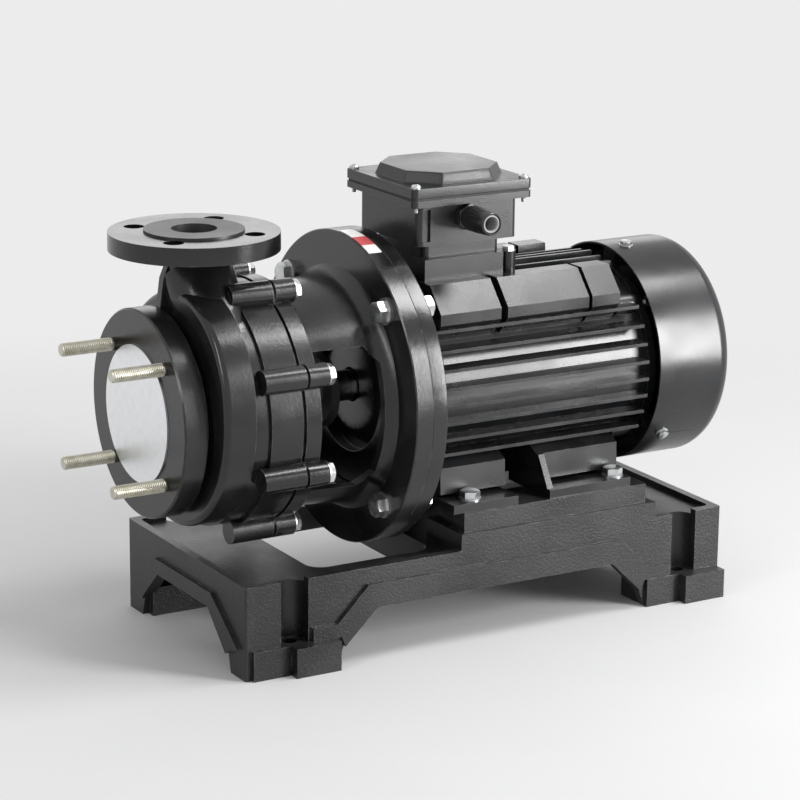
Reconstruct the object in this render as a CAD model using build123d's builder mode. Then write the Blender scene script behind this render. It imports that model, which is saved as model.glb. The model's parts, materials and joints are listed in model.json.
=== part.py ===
"""Fluoroplastic-lined centrifugal pump, close-coupled to a foot-and-flange motor on a cast baseplate.

Millimetres. The origin is on the floor at the centre of the four foundation holes, +X runs along
the shaft from the suction port to the motor fan, +Z is up. Places along the shaft are given as the
distance behind the suction flange face.
"""

from math import cos, pi, radians, sin, sqrt
import os

from build123d import *

os.makedirs("parts", exist_ok=True)

# Driving dimensions of the whole unit
shaft_height = 218
suction_x = -298
base_length = 502
base_width = 232
base_height = 85
pad_height = 118
foundation_spacing_x = 412
foundation_spacing_y = 212
motor_bolt_spots = [(280, -98), (434, -98), (280, 98), (434, 98)]

# Ports: DN 65 suction with M12 studs that meet their tapped holes at the pitch radius of the
# thread, and DN 40 discharge with through holes
suction_flange_radius = 92.5
suction_stud_circle = 145
stud_pitch_radius = 5.4
suction_bore = 65
suction_face_radius = 61
discharge_distance = 56
discharge_height = 157
discharge_flange_radius = 75
discharge_hole_circle = 110
discharge_hole = 18
discharge_bore = 40
discharge_face_radius = 44
lining = 5

# Casing stations along the shaft
volute_front = 28
volute_back = 57
drum_step = 74
parting = 106
drum_radius = 106
flange_radius = 110
casing_bolt_radius = 114
boss_radius = 11

# Bracket and motor stations along the shaft
bracket_flange = 122
adapter_front = 197.5
motor_face = 214
motor_flange_back = 229
adapter_radius = 142.4
adapter_bolt_radius = 124
frame_front = 240
frame_back = 478
frame_radius = 84
frame_bore = 76
cowl_front = 481
cowl_back = 565
cowl_radius = 103.5

running_gap = 0.05

shaft_axis = Axis((suction_x, 0, shaft_height), (1, 0, 0))
shaft_plane = Plane(origin=(suction_x, 0, shaft_height), x_dir=(1, 0, 0), z_dir=(0, -1, 0))


def across(distance):
    """Plane square to the shaft; its local axes are world Y and Z."""
    return Plane(origin=(suction_x + distance, 0, shaft_height), x_dir=(0, 1, 0), z_dir=(1, 0, 0))


def level(height):
    """Horizontal plane at a height above the floor, starting below the suction face."""
    return Plane(origin=(suction_x, 0, height), x_dir=(1, 0, 0), z_dir=(0, 0, 1))


def side(width):
    """Upright plane along the shaft at a world Y; local axes are shaft distance and height."""
    return Plane(origin=(suction_x, width, 0), x_dir=(1, 0, 0), z_dir=(0, -1, 0))


def turned(*corners):
    """Outline given as (distance, radius) corners, ready to be revolved about the shaft."""
    with BuildSketch(shaft_plane) as outline:
        with BuildLine():
            Polyline(*corners, close=True)
        make_face()
    return outline.sketch


def ring(start, end, inner, outer):
    """Square-edged ring outline around the shaft."""
    return turned((start, inner), (end, inner), (end, outer), (start, outer))


def polygon(plane, *corners):
    with BuildSketch(plane) as outline:
        with BuildLine():
            Polyline(*corners, close=True)
        make_face()
    return outline.sketch


def discs_around(distance, circle, count, start, radius):
    """Equal discs on a circle round the shaft."""
    with BuildSketch(across(distance)) as outline:
        with PolarLocations(circle, count, start_angle=start):
            Circle(radius)
    return outline.sketch


def rings_around(distance, circle, count, start, outer, inner):
    with BuildSketch(across(distance)) as outline:
        with PolarLocations(circle, count, start_angle=start):
            Circle(outer)
            Circle(inner, mode=Mode.SUBTRACT)
    return outline.sketch


def hexagons_around(distance, circle, count, start, across_flats):
    with BuildSketch(across(distance)) as outline:
        with PolarLocations(circle, count, start_angle=start):
            RegularPolygon(across_flats / 2, 6, major_radius=False)
    return outline.sketch


def finish(piece, name):
    piece.part.label = name
    export_step(piece.part, f"parts/{name}.step")


# Spiral of the volute: it grows from the tongue on the far side, round the bottom, to the throat

tongue_angle = 50
throat_share = 0.76


def spiral_radius(share, small, large):
    if share < throat_share:
        return small + (large - small) * (share / throat_share) ** 2.4
    fall = (share - throat_share) / (1 - throat_share)
    return small + (large - small) * (1 + cos(pi * fall)) / 2


def spiral(distance, small, large):
    """Closed spiral outline square to the shaft, drawn as a chain of arcs."""
    arcs = 6
    points = []
    for step in range(2 * arcs + 1):
        share = step / (2 * arcs)
        angle = radians(tongue_angle - 360 * share)
        radius = spiral_radius(share, small, large)
        points.append((radius * cos(angle), radius * sin(angle)))
    with BuildSketch(across(distance)) as outline:
        with BuildLine():
            for arc in range(arcs):
                ThreePointArc(*points[2 * arc:2 * arc + 3])
        make_face()
    return outline.sketch


# Cast passage from the side of the volute up to the discharge pipe: a leaning cone

throat_foot = (-60, 48)
throat_head = (0, 118)
throat_run = (throat_head[0] - throat_foot[0], throat_head[1] - throat_foot[1])
throat_length = sqrt(throat_run[0] ** 2 + throat_run[1] ** 2)
throat_origin = (suction_x + discharge_distance + 2, throat_foot[0], shaft_height + throat_foot[1])
throat_direction = (0, throat_run[0], throat_run[1])
throat_axis = Axis(throat_origin, throat_direction)
throat_plane = Plane(
    origin=throat_origin, x_dir=(1, 0, 0), z_dir=(0, -throat_run[1], throat_run[0]),
)


def throat(grow):
    """Half outline of the leaning cone, ready to be revolved about its own axis."""
    low = 14 + grow
    high = discharge_bore / 2 + grow
    return polygon(throat_plane, (0, 0), (low, 0), (high, throat_length), (0, throat_length))


def above(height):
    """Location on the discharge centreline at a height above the shaft."""
    return Locations((suction_x + discharge_distance, 0, shaft_height + height))


upward = (Align.CENTER, Align.CENTER, Align.MIN)

# Baseplate: one iron casting, open underneath, with a drip tray, two motor pads and four feet

wall = 9
deck = 8
tray_depth = 5
rim = 8
base_front = 44
base_back = base_front + base_length
base_middle = base_front + base_length / 2
hole_middle = -suction_x
foot_height = 27
foot_front = 42
foot_back = 39
foot_plate_reach = 4
foot_block_reach = 14
foot_block_length = 44
opening_front = 128
opening_back = 250
opening_width = 168
channel_radius = 13.5
motor_pad_front = 266
motor_pad_back = 462
motor_pad_width = 48
motor_pad_outer = 112
band_depth = 3.5

with BuildPart() as baseplate:
    with BuildSketch(level(0)):
        with Locations((base_middle, 0)):
            RectangleRounded(base_length, base_width, 2)
    extrude(amount=base_height)
    with BuildSketch(level(0)):
        with Locations((base_middle, 0)):
            Rectangle(base_length - 2 * wall, base_width - 2 * wall)
    extrude(amount=base_height - deck - tray_depth, mode=Mode.SUBTRACT)
    with BuildSketch(level(base_height - tray_depth)):
        with Locations((base_middle, 0)):
            RectangleRounded(base_length - 2 * rim, base_width - 2 * rim, 5)
    extrude(amount=tray_depth, mode=Mode.SUBTRACT)
    # Arched sides and ends leave four corner legs
    for width in (-base_width / 2 - 1, base_width / 2 + 1):
        inward = 1 if width > 0 else -1
        arch = polygon(side(width), (134, 0), (141, 17), (173, 48), (423, 48), (455, 17), (462, 0))
        extrude(arch, amount=inward * (wall + 2), mode=Mode.SUBTRACT)
    for distance in (base_front - 1, base_back - wall - 1):
        arch = polygon(
            Plane(origin=(suction_x + distance, 0, 0), x_dir=(0, 1, 0), z_dir=(1, 0, 0)),
            (-88, 0), (-84, 17), (-50, 50), (50, 50), (84, 17), (88, 0),
        )
        extrude(arch, amount=wall + 2, mode=Mode.SUBTRACT)
    # Raised band that follows the arch of each end
    for distance in (base_front - band_depth, base_back):
        band = polygon(
            Plane(origin=(suction_x + distance, 0, 0), x_dir=(0, 1, 0), z_dir=(1, 0, 0)),
            (-106, 27), (-96, 35), (-56, 64), (56, 64), (96, 35), (106, 27),
            (92, 22), (84, 17), (50, 50), (-50, 50), (-84, 17), (-92, 22),
        )
        extrude(band, amount=band_depth)
    # Raised band that follows each long arch
    for sign in (-1, 1):
        band = polygon(
            side(sign * base_width / 2),
            (109, 27), (109, 39), (133, 39), (164, 70), (432, 70), (463, 39), (487, 39), (487, 27),
            (459, 27), (455, 17), (423, 48), (173, 48), (141, 17), (137, 27),
        )
        extrude(band, amount=-sign * band_depth)
    # Motor pads stand on wider pedestals
    for sign in (-1, 1):
        with BuildSketch(level(base_height - deck - tray_depth)):
            with Locations((hole_middle + 68, sign * (base_width / 2 - 30))):
                Rectangle(210, 60)
        extrude(amount=100 - base_height + deck + tray_depth)
        pad_middle = (motor_pad_front + motor_pad_back) / 2
        with BuildSketch(level(100)):
            with Locations((pad_middle, sign * (motor_pad_outer - motor_pad_width / 2))):
                Rectangle(motor_pad_back - motor_pad_front, motor_pad_width)
        extrude(amount=pad_height - 100)
    # Corner columns and spread feet
    for end in (-1, 1):
        for sign in (-1, 1):
            column = hole_middle + end * foundation_spacing_x / 2
            with BuildSketch(level(0)):
                with Locations((column, sign * (base_width / 2 - 16))):
                    Rectangle(40, 32)
            extrude(amount=base_height - tray_depth)
            plate_middle = column + (foot_back - foot_front) / 2
            block_middle = column + foot_back - foot_block_length / 2
            with BuildSketch(level(0)):
                with Locations((plate_middle, sign * (base_width / 2 + foot_plate_reach - 21))):
                    Rectangle(foot_front + foot_back, 42)
                with Locations((block_middle, sign * (base_width / 2 + foot_block_reach - 24))):
                    Rectangle(foot_block_length, 48)
            extrude(amount=foot_height)
            with BuildSketch(level(foot_height)):
                with Locations((column, sign * (base_width / 2 - 6))):
                    Circle(channel_radius)
                with Locations((column, sign * (base_width / 2 + 4))):
                    Rectangle(2 * channel_radius, 20)
            extrude(amount=base_height, mode=Mode.SUBTRACT)
    # Well in the deck that the adapter flange dips into
    with BuildSketch(level(base_height - deck - tray_depth - 1)):
        with Locations(((opening_front + opening_back) / 2, 0)):
            RectangleRounded(opening_back - opening_front, opening_width, 16)
    extrude(amount=deck + tray_depth + 2, mode=Mode.SUBTRACT)
    # Cross ribs under the deck
    for distance in (120, 258, 455):
        with BuildSketch(level(base_height - tray_depth - 34)):
            with Locations((distance, 0)):
                Rectangle(7, base_width - 2 * wall + 2)
        extrude(amount=30)
    # Foundation holes through the feet, and tapped holes for the motor bolts
    with BuildSketch(level(-1)):
        with Locations((hole_middle, 0)):
            with GridLocations(foundation_spacing_x, foundation_spacing_y, 2, 2):
                Circle(7)
    extrude(amount=foot_height + 2, mode=Mode.SUBTRACT)
    with BuildSketch(level(pad_height)):
        with Locations(motor_bolt_spots):
            Circle(5)
    extrude(amount=-24, mode=Mode.SUBTRACT)
finish(baseplate, "baseplate")

# Volute casing: iron shell round the lining, with both flanges and eight bolt bosses


def lining_port_outline():
    """Suction end of the lining: sealing face, pipe and the step round the impeller eye."""
    return turned(
        (0, 0), (0, suction_face_radius), (lining, suction_face_radius), (lining, 37.5), (27, 37.5),
        (27, 43), (36, 43), (36, 0),
    )


with BuildPart() as volute_casing:
    extrude(spiral(volute_front, 97, 121), amount=volute_back - volute_front)
    fillet(volute_casing.faces().sort_by(Axis.X)[0].edges(), radius=6)
    revolve(turned(
        (0, 0), (0, suction_flange_radius - 1.5), (1.5, suction_flange_radius),
        (21, suction_flange_radius), (22, suction_flange_radius - 1), (22, 83), (26, 84), (30, 92),
        (volute_back - 4, 92), (volute_back - 4, drum_radius), (drum_step, drum_radius),
        (drum_step, flange_radius - 1), (parting, flange_radius - 1), (parting, 0),
    ), axis=shaft_axis)
    extrude(discs_around(65, casing_bolt_radius, 8, 22.5, boss_radius), amount=parting - 65)
    # Discharge neck with its flange, and the leaning passage that feeds it
    revolve(throat(13), axis=throat_axis)
    with above(70):
        Cone(30, 27, 42, align=upward)
    with above(112):
        Cylinder(27, discharge_height - 112, align=upward)
    with above(discharge_height - 16):
        Cylinder(discharge_flange_radius, 16, align=upward)
    # Thin rib between the two flanges
    rib = polygon(
        side(4),
        (20, shaft_height + 88), (24, shaft_height + 118), (34, shaft_height + 142),
        (56, shaft_height + 142), (56, shaft_height + 88),
    )
    extrude(rib, amount=8)
    # Hollow for the lining
    extrude(spiral(35, 86, 98), amount=54, mode=Mode.SUBTRACT)
    revolve(lining_port_outline(), axis=shaft_axis, mode=Mode.SUBTRACT)
    revolve(throat(lining), axis=throat_axis, mode=Mode.SUBTRACT)
    with above(104):
        Cylinder(discharge_bore / 2 + lining, 60, align=upward, mode=Mode.SUBTRACT)
    with above(discharge_height - 3):
        Cylinder(discharge_face_radius, 10, align=upward, mode=Mode.SUBTRACT)
    # Register for the rear cover, stud holes, and holes in the discharge flange
    revolve(ring(88, parting + 1, 0, 101), axis=shaft_axis, mode=Mode.SUBTRACT)
    extrude(discs_around(80, casing_bolt_radius, 8, 22.5, 5), amount=30, mode=Mode.SUBTRACT)
    tapped = discs_around(-1, suction_stud_circle / 2, 4, 45, stud_pitch_radius)
    extrude(tapped, amount=20, mode=Mode.SUBTRACT)
    with above(discharge_height - 17):
        with PolarLocations(discharge_hole_circle / 2, 4, start_angle=45):
            Cylinder(discharge_hole / 2, 20, align=upward, mode=Mode.SUBTRACT)
finish(volute_casing, "volute_casing")

with BuildPart() as casing_lining:
    extrude(spiral(35, 86, 98), amount=53)
    revolve(lining_port_outline(), axis=shaft_axis)
    revolve(throat(lining), axis=throat_axis)
    with above(104):
        Cylinder(discharge_bore / 2 + lining, discharge_height - 104, align=upward)
    with above(discharge_height - 3):
        Cylinder(discharge_face_radius, 5, align=upward)
    # Wetted passage
    extrude(spiral(35 + lining, 81, 93), amount=60, mode=Mode.SUBTRACT)
    revolve(turned(
        (-1, 0), (-1, suction_bore / 2), (32, suction_bore / 2), (32, 38.5), (41, 38.5), (41, 0),
    ), axis=shaft_axis, mode=Mode.SUBTRACT)
    revolve(throat(0), axis=throat_axis, mode=Mode.SUBTRACT)
    with above(104):
        Cylinder(discharge_bore / 2, 60, align=upward, mode=Mode.SUBTRACT)
finish(casing_lining, "casing_lining")

with BuildPart() as suction_studs:
    extrude(discs_around(-49, suction_stud_circle / 2, 4, 45, 6), amount=49)
    extrude(discs_around(0, suction_stud_circle / 2, 4, 45, stud_pitch_radius), amount=18)
    chamfer(suction_studs.faces().group_by(Axis.X)[0].edges(), length=1.2)
finish(suction_studs, "suction_studs")

with BuildPart() as suction_port_cover:
    revolve(ring(-1.8, -0.2, 0, suction_face_radius), axis=shaft_axis)
finish(suction_port_cover, "suction_port_cover")

# Rear cover: iron plate behind the impeller with a lined face and a lined throat for the shaft

with BuildPart() as rear_cover:
    revolve(turned(
        (93, 25), (93, 100.9), (parting, 100.9), (parting, 59), (112, 56), (112, 25),
    ), axis=shaft_axis)
    extrude(discs_around(92, 50, 4, 0, 4), amount=21, mode=Mode.SUBTRACT)
finish(rear_cover, "rear_cover")

with BuildPart() as rear_cover_lining:
    revolve(turned(
        (88, 20.5), (88, 100.9), (93, 100.9), (93, 25), (112, 25), (112, 20.5),
    ), axis=shaft_axis)
finish(rear_cover_lining, "rear_cover_lining")

# Bracket: scalloped front flange, flared barrel with side windows, and the adapter plate

with BuildPart() as lantern:
    revolve(ring(parting, bracket_flange, 60, flange_radius), axis=shaft_axis)
    extrude(discs_around(parting, casing_bolt_radius, 8, 22.5, boss_radius), amount=127 - parting)
    with BuildSketch(shaft_plane):
        with BuildLine():
            Line((bracket_flange - 6, 90), (bracket_flange - 6, 99))
            Line((bracket_flange - 6, 99), (bracket_flange, 99))
            Line((bracket_flange, 99), (180, 103))
            ThreePointArc((180, 103), (192, 105.5), (adapter_front, 111))
            Line((adapter_front, 111), (adapter_front, adapter_radius - 1))
            Line((adapter_front, adapter_radius - 1), (adapter_front + 1, adapter_radius))
            Line((adapter_front + 1, adapter_radius), (motor_face, adapter_radius))
            Line((motor_face, adapter_radius), (motor_face, 90))
            Line((motor_face, 90), (adapter_front - 2, 90))
            Line((adapter_front - 2, 90), (adapter_front - 8, 96))
            Line((adapter_front - 8, 96), (bracket_flange, 90))
            Line((bracket_flange, 90), (bracket_flange - 6, 90))
        make_face()
    revolve(axis=shaft_axis)
    window = polygon(
        side(150),
        (127, shaft_height - 70), (127, shaft_height + 58), (176, shaft_height + 58),
        (188, shaft_height + 44), (188, shaft_height - 56), (176, shaft_height - 70),
    )
    extrude(window, amount=300, mode=Mode.SUBTRACT)
    # Clearance holes for the casing studs and the adapter bolts
    stud_holes = discs_around(parting - 1, casing_bolt_radius, 8, 22.5, 5.3)
    extrude(stud_holes, amount=30, mode=Mode.SUBTRACT)
    bolt_holes = discs_around(adapter_front - 1, adapter_bolt_radius, 4, 45, 6.6)
    extrude(bolt_holes, amount=20, mode=Mode.SUBTRACT)
finish(lantern, "lantern")

with BuildPart() as rotation_label:
    film = ring(199.5, 212.5, adapter_radius, adapter_radius + 0.5)
    revolve(film, axis=shaft_axis, revolution_arc=22)
finish(rotation_label, "rotation_label")

with BuildPart() as casing_studs:
    extrude(discs_around(80, casing_bolt_radius, 8, 22.5, 5), amount=54)
finish(casing_studs, "casing_studs")

with BuildPart() as casing_washers:
    extrude(rings_around(127, casing_bolt_radius, 8, 22.5, 10, 5), amount=1.6)
finish(casing_washers, "casing_washers")

with BuildPart() as casing_nuts:
    extrude(hexagons_around(128.6, casing_bolt_radius, 8, 22.5, 16.5), amount=8)
    extrude(discs_around(128.6, casing_bolt_radius, 8, 22.5, 5), amount=5.4, mode=Mode.SUBTRACT)
finish(casing_nuts, "casing_cap_nuts")

# Adapter bolts: heads in front of the bracket plate, nuts behind the motor flange

with BuildPart() as adapter_bolts:
    extrude(hexagons_around(adapter_front - 11.5, adapter_bolt_radius, 4, 45, 18), amount=9)
    extrude(discs_around(adapter_front - 4, adapter_bolt_radius, 4, 45, 6), amount=51)
finish(adapter_bolts, "adapter_bolts")

with BuildPart() as adapter_washers:
    extrude(rings_around(adapter_front - 2.5, adapter_bolt_radius, 4, 45, 12, 6), amount=2.5)
    extrude(rings_around(motor_flange_back, adapter_bolt_radius, 4, 45, 12, 6), amount=2.5)
finish(adapter_washers, "adapter_washers")

with BuildPart() as adapter_nuts:
    extrude(hexagons_around(motor_flange_back + 2.5, adapter_bolt_radius, 4, 45, 18), amount=10)
    extrude(discs_around(motor_flange_back, adapter_bolt_radius, 4, 45, 6), amount=20, mode=Mode.SUBTRACT)
finish(adapter_nuts, "adapter_nuts")

# Closed impeller: two shrouds and swept vanes moulded round a metal hub

vane_count = 6
vane_start = 30
vane_end = 76
impeller_radius = 77
vane_sweep = 95


def vane_point(share, shift):
    """Point on a vane's camber line, shifted sideways by half its thickness."""
    radius = vane_start + (vane_end - vane_start) * share
    angle = radians(vane_sweep * share) + shift / radius
    return radius * cos(angle), radius * sin(angle)


with BuildPart() as impeller:
    revolve(turned(
        (53, 10.2), (53, 20), (58, 27), (68, 60), (68, impeller_radius), (73, impeller_radius),
        (73, 50), (80, 26), (80, 22), (58, 22), (58, 10.2),
    ), axis=shaft_axis)
    revolve(turned(
        (33.5, 33), (33.5, 37), (41, 37.5), (44, 42), (46, 60), (47, impeller_radius),
        (51, impeller_radius), (50, 60), (47, 43), (40, 34),
    ), axis=shaft_axis)
    with BuildSketch(across(49)):
        with PolarLocations(0, vane_count):
            with BuildLine():
                front_side = ThreePointArc(*[vane_point(share, 2.2) for share in (0, 0.5, 1)])
                back_side = ThreePointArc(*[vane_point(share, -2.2) for share in (0, 0.5, 1)])
                Line(front_side @ 0, back_side @ 0)
                Line(front_side @ 1, back_side @ 1)
            make_face()
    extrude(amount=20)
finish(impeller, "impeller")

with BuildPart() as impeller_insert:
    revolve(ring(58, 80, 10, 22), axis=shaft_axis)
    with BuildSketch(across(57)):
        with Locations((0, 10)):
            Rectangle(6, 6)
    extrude(amount=24, mode=Mode.SUBTRACT)
finish(impeller_insert, "impeller_insert")

with BuildPart() as impeller_nut:
    with BuildSketch(shaft_plane):
        with BuildLine():
            Polyline((37, 5), (37, 0), (42, 0), (42, 8), (53, 8), (53, 19), (49, 19))
            ThreePointArc((49, 19), (41, 14), (37, 5))
        make_face()
    revolve(axis=shaft_axis)
finish(impeller_nut, "impeller_nut")

with BuildPart() as impeller_key:
    with BuildSketch(across(59)):
        with Locations((0, 10)):
            Rectangle(6, 6)
    extrude(amount=20)
finish(impeller_key, "impeller_key")

# Shaft: one stepped bar from the impeller nut to the fan

with BuildPart() as shaft:
    revolve(turned(
        (42, 0), (42, 8), (53, 8), (53, 10), (80, 10), (80, 12.5), (162, 12.5), (162, 14), (224, 14),
        (224, 15), (244, 15), (244, 19), (300, 19), (300, 20), (410, 20), (410, 18), (487, 18),
        (487, 15), (503, 15), (503, 12), (545, 12), (545, 0),
    ), axis=shaft_axis)
    with BuildSketch(across(59)):
        with Locations((0, 10)):
            Rectangle(6, 6)
    extrude(amount=20, mode=Mode.SUBTRACT)
    revolve(ring(540, 541.5, 11, 13), axis=shaft_axis, mode=Mode.SUBTRACT)
finish(shaft, "shaft")

with BuildPart() as shaft_sleeve:
    revolve(ring(80, 162, 12.5, 17.5), axis=shaft_axis)
finish(shaft_sleeve, "shaft_sleeve")

# Mechanical seal outside the rear cover: fixed ring and gland, turning ring, bellows and collar

with BuildPart() as seal_stationary_ring:
    revolve(ring(112, 122, 20.5, 32), axis=shaft_axis)
finish(seal_stationary_ring, "seal_stationary_ring")

with BuildPart() as seal_gland:
    revolve(turned(
        (112, 32), (112, 56), (127, 56), (128, 55), (128, 28), (122, 28), (122, 32),
    ), axis=shaft_axis)
    extrude(discs_around(111, 50, 4, 0, 4), amount=20, mode=Mode.SUBTRACT)
finish(seal_gland, "seal_gland")

with BuildPart() as seal_gland_bolts:
    extrude(hexagons_around(128, 50, 4, 0, 13), amount=5.3)
    extrude(discs_around(96, 50, 4, 0, 4), amount=33)
finish(seal_gland_bolts, "seal_gland_bolts")

with BuildPart() as seal_rotary_ring:
    revolve(ring(122.05, 131, 17.5, 26), axis=shaft_axis)
finish(seal_rotary_ring, "seal_rotary_ring")

bellows_front = 131
bellows_pitch = 4.2
with BuildPart() as seal_bellows:
    outline = [(bellows_front, 17.5), (bellows_front, 25)]
    for fold in range(5):
        outline.append((bellows_front + bellows_pitch * (fold + 0.5), 20))
        outline.append((bellows_front + bellows_pitch * (fold + 1), 25))
    outline.append((bellows_front + bellows_pitch * 5, 17.5))
    revolve(turned(*outline), axis=shaft_axis)
finish(seal_bellows, "seal_bellows")

with BuildPart() as seal_collar:
    revolve(ring(152, 162, 17.5, 28), axis=shaft_axis)
    with BuildSketch(level(shaft_height)):
        with Locations((157, 0)):
            Circle(2.5)
    extrude(amount=30, both=True, mode=Mode.SUBTRACT)
finish(seal_collar, "seal_collar")

with BuildPart() as splash_ring:
    revolve(turned(
        (176, 14), (176, 30), (180, 34), (182, 34), (182, 20), (190, 18), (190, 14),
    ), axis=shaft_axis)
finish(splash_ring, "splash_ring")

# Motor flange: drive-end shield with the front bearing pocket

with BuildPart() as motor_flange:
    revolve(turned(
        (208, 60), (208, 89.5), (motor_face, 90), (motor_face, adapter_radius),
        (motor_flange_back - 1, adapter_radius), (motor_flange_back, adapter_radius - 1),
        (motor_flange_back, 108), (frame_front, 98), (frame_front, frame_bore), (246, frame_bore),
        (246, 70), (238, 64), (234, 46), (247, 42), (247, 36), (224, 36), (224, 30), (220, 30),
        (220, 15.5), (212, 15.5), (212, 40), (218, 60),
    ), axis=shaft_axis)
    bolt_holes = discs_around(motor_face - 1, adapter_bolt_radius, 4, 45, 6.6)
    extrude(bolt_holes, amount=20, mode=Mode.SUBTRACT)
    extrude(discs_around(200, 80, 4, 45, 3), amount=50, mode=Mode.SUBTRACT)
    extrude(discs_around(200, 80, 4, 45, 6), amount=14, mode=Mode.SUBTRACT)
finish(motor_flange, "motor_flange")


def ball_bearing(start, width, bore, outside, ball_circle, ball_radius, prefix):
    """Deep-groove bearing as an outer ring, an inner ring and a set of balls."""
    middle = start + width / 2
    with BuildPart() as outer_ring:
        revolve(ring(start, start + width, ball_circle + 0.55 * ball_radius, outside), axis=shaft_axis)
        with BuildSketch(shaft_plane):
            with Locations((middle, ball_circle)):
                Circle(ball_radius + running_gap)
        revolve(axis=shaft_axis, mode=Mode.SUBTRACT)
    finish(outer_ring, f"{prefix}_bearing_outer_ring")
    with BuildPart() as inner_ring:
        revolve(ring(start, start + width, bore, ball_circle - 0.55 * ball_radius), axis=shaft_axis)
        with BuildSketch(shaft_plane):
            with Locations((middle, ball_circle)):
                Circle(ball_radius)
        revolve(axis=shaft_axis, mode=Mode.SUBTRACT)
    finish(inner_ring, f"{prefix}_bearing_inner_ring")
    with BuildPart() as balls:
        with Locations(across(middle)):
            with PolarLocations(ball_circle, 8):
                Sphere(ball_radius)
    finish(balls, f"{prefix}_bearing_balls")


ball_bearing(224.5, 19, 15, 36, 25.5, 6, "front")
ball_bearing(487, 16, 15, 31, 23, 4.8, "rear")

with BuildPart() as preload_washer:
    revolve(ring(503.4, 504.6, 24, 30.5), axis=shaft_axis)
finish(preload_washer, "preload_washer")

# Motor frame: finned tube with flats at the upper corners, a pedestal for the box and four feet

fin_thickness = 3
fin_pitch = 16
fin_top = 60
side_fins = 8
fin_tip_radius = 101
foot_spans = ((256, 324), (358, 446))
earth_spot = (351, -42)

with BuildPart() as motor_frame:
    revolve(ring(frame_front, frame_back, 0, frame_radius), axis=shaft_axis)
    # Horizontal fins on both sides
    for number in range(side_fins):
        height = fin_top - number * fin_pitch
        reach = sqrt(fin_tip_radius ** 2 - height ** 2)
        with BuildSketch(across(frame_front + 6)):
            with Locations((0, height)):
                Rectangle(2 * reach, fin_thickness)
        extrude(amount=frame_back - frame_front - 14)
    # Upright fins above and below
    for number in range(5):
        width = (number - 2) * fin_pitch
        with BuildSketch(across(frame_front + 6)):
            with Locations((width, 0)):
                Rectangle(fin_thickness, 2 * (98 - abs(width) * 0.12))
        extrude(amount=frame_back - frame_front - 14)
    # Flat-faced blocks at the upper corners, split by casting grooves
    for sign in (-1, 1):
        for start, end in ((257, 320), (327, 414), (418, 448)):
            with BuildSketch(across(start)):
                with BuildLine():
                    Polyline((sign * 40, 60), (sign * 44, 99), (sign * 62, 99), (sign * 82, 76),
                             (sign * 82, 66), (sign * 60, 40), close=True)
                make_face()
            extrude(amount=end - start)
    # Pedestal for the terminal box
    with BuildSketch(level(shaft_height + 60)):
        with Locations((300, 0)):
            Rectangle(82, 100)
    extrude(amount=59)
    with BuildSketch(level(shaft_height + 70)):
        with Locations(earth_spot):
            Circle(7)
    extrude(amount=48)
    # Corner bosses for the shield screws at both ends
    for distance in (frame_front, frame_back - 24):
        extrude(discs_around(distance, 80, 4, 45, 12), amount=24)
    # Feet: a sloping block on a flat toe, with a side web
    for sign in (-1, 1):
        for start, end in foot_spans:
            with BuildSketch(across(start)):
                with BuildLine():
                    Polyline((sign * 30, -70), (sign * 66, -54), (sign * 86, -64), (sign * 87, -88),
                             (sign * 74, -92), (sign * 40, -92), close=True)
                make_face()
            extrude(amount=end - start)
            with BuildSketch(across(start)):
                with BuildLine():
                    Polyline((sign * 40, -100), (sign * 110, -100), (sign * 110, -92),
                             (sign * 40, -92), close=True)
                make_face()
            extrude(amount=end - start)
        with BuildSketch(across(358)):
            with BuildLine():
                Polyline((sign * 60, -60), (sign * 89, -64), (sign * 108, -96),
                         (sign * 60, -98), close=True)
            make_face()
        extrude(amount=6)
    # Bore, screw holes and cable way
    revolve(ring(frame_front - 1, frame_back + 1, 0, frame_bore), axis=shaft_axis, mode=Mode.SUBTRACT)
    for distance in (frame_front - 1, frame_back - 19):
        extrude(discs_around(distance, 80, 4, 45, 3), amount=20, mode=Mode.SUBTRACT)
    with BuildSketch(level(shaft_height + 60)):
        with Locations((300, 0)):
            Rectangle(34, 40)
    extrude(amount=60, mode=Mode.SUBTRACT)
    with BuildSketch(level(pad_height - 1)):
        with Locations(motor_bolt_spots):
            Circle(5.5)
    extrude(amount=12, mode=Mode.SUBTRACT)
finish(motor_frame, "motor_frame")

with BuildPart() as stator_core:
    revolve(ring(300, 410, 47.5, frame_bore), axis=shaft_axis)
finish(stator_core, "stator_core")

with BuildPart() as stator_windings:
    for start, end in ((272, 300), (410, 438)):
        revolve(turned(
            (start, 56), (start, 66), (start + 4, 70), (end - 4, 70), (end, 66), (end, 56),
            (end - 4, 52), (start + 4, 52),
        ), axis=shaft_axis)
finish(stator_windings, "stator_windings")

with BuildPart() as rotor_core:
    revolve(turned(
        (292, 32), (292, 44), (300, 44), (300, 47), (410, 47), (410, 44), (418, 44), (418, 32),
        (410, 32), (410, 20), (300, 20), (300, 32),
    ), axis=shaft_axis)
finish(rotor_core, "rotor_core")

# Non-drive end: shield, fan and cowl

cowl_screw_start = 98
cowl_screw_distance = 500


def cowl_screw_plane(number):
    """Plane square to one of the three cowl screws, at the shaft axis."""
    angle = radians(cowl_screw_start + 120 * number)
    centre = (suction_x + cowl_screw_distance, 0, shaft_height)
    return Plane(origin=centre, x_dir=(1, 0, 0), z_dir=(0, cos(angle), sin(angle)))


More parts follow.
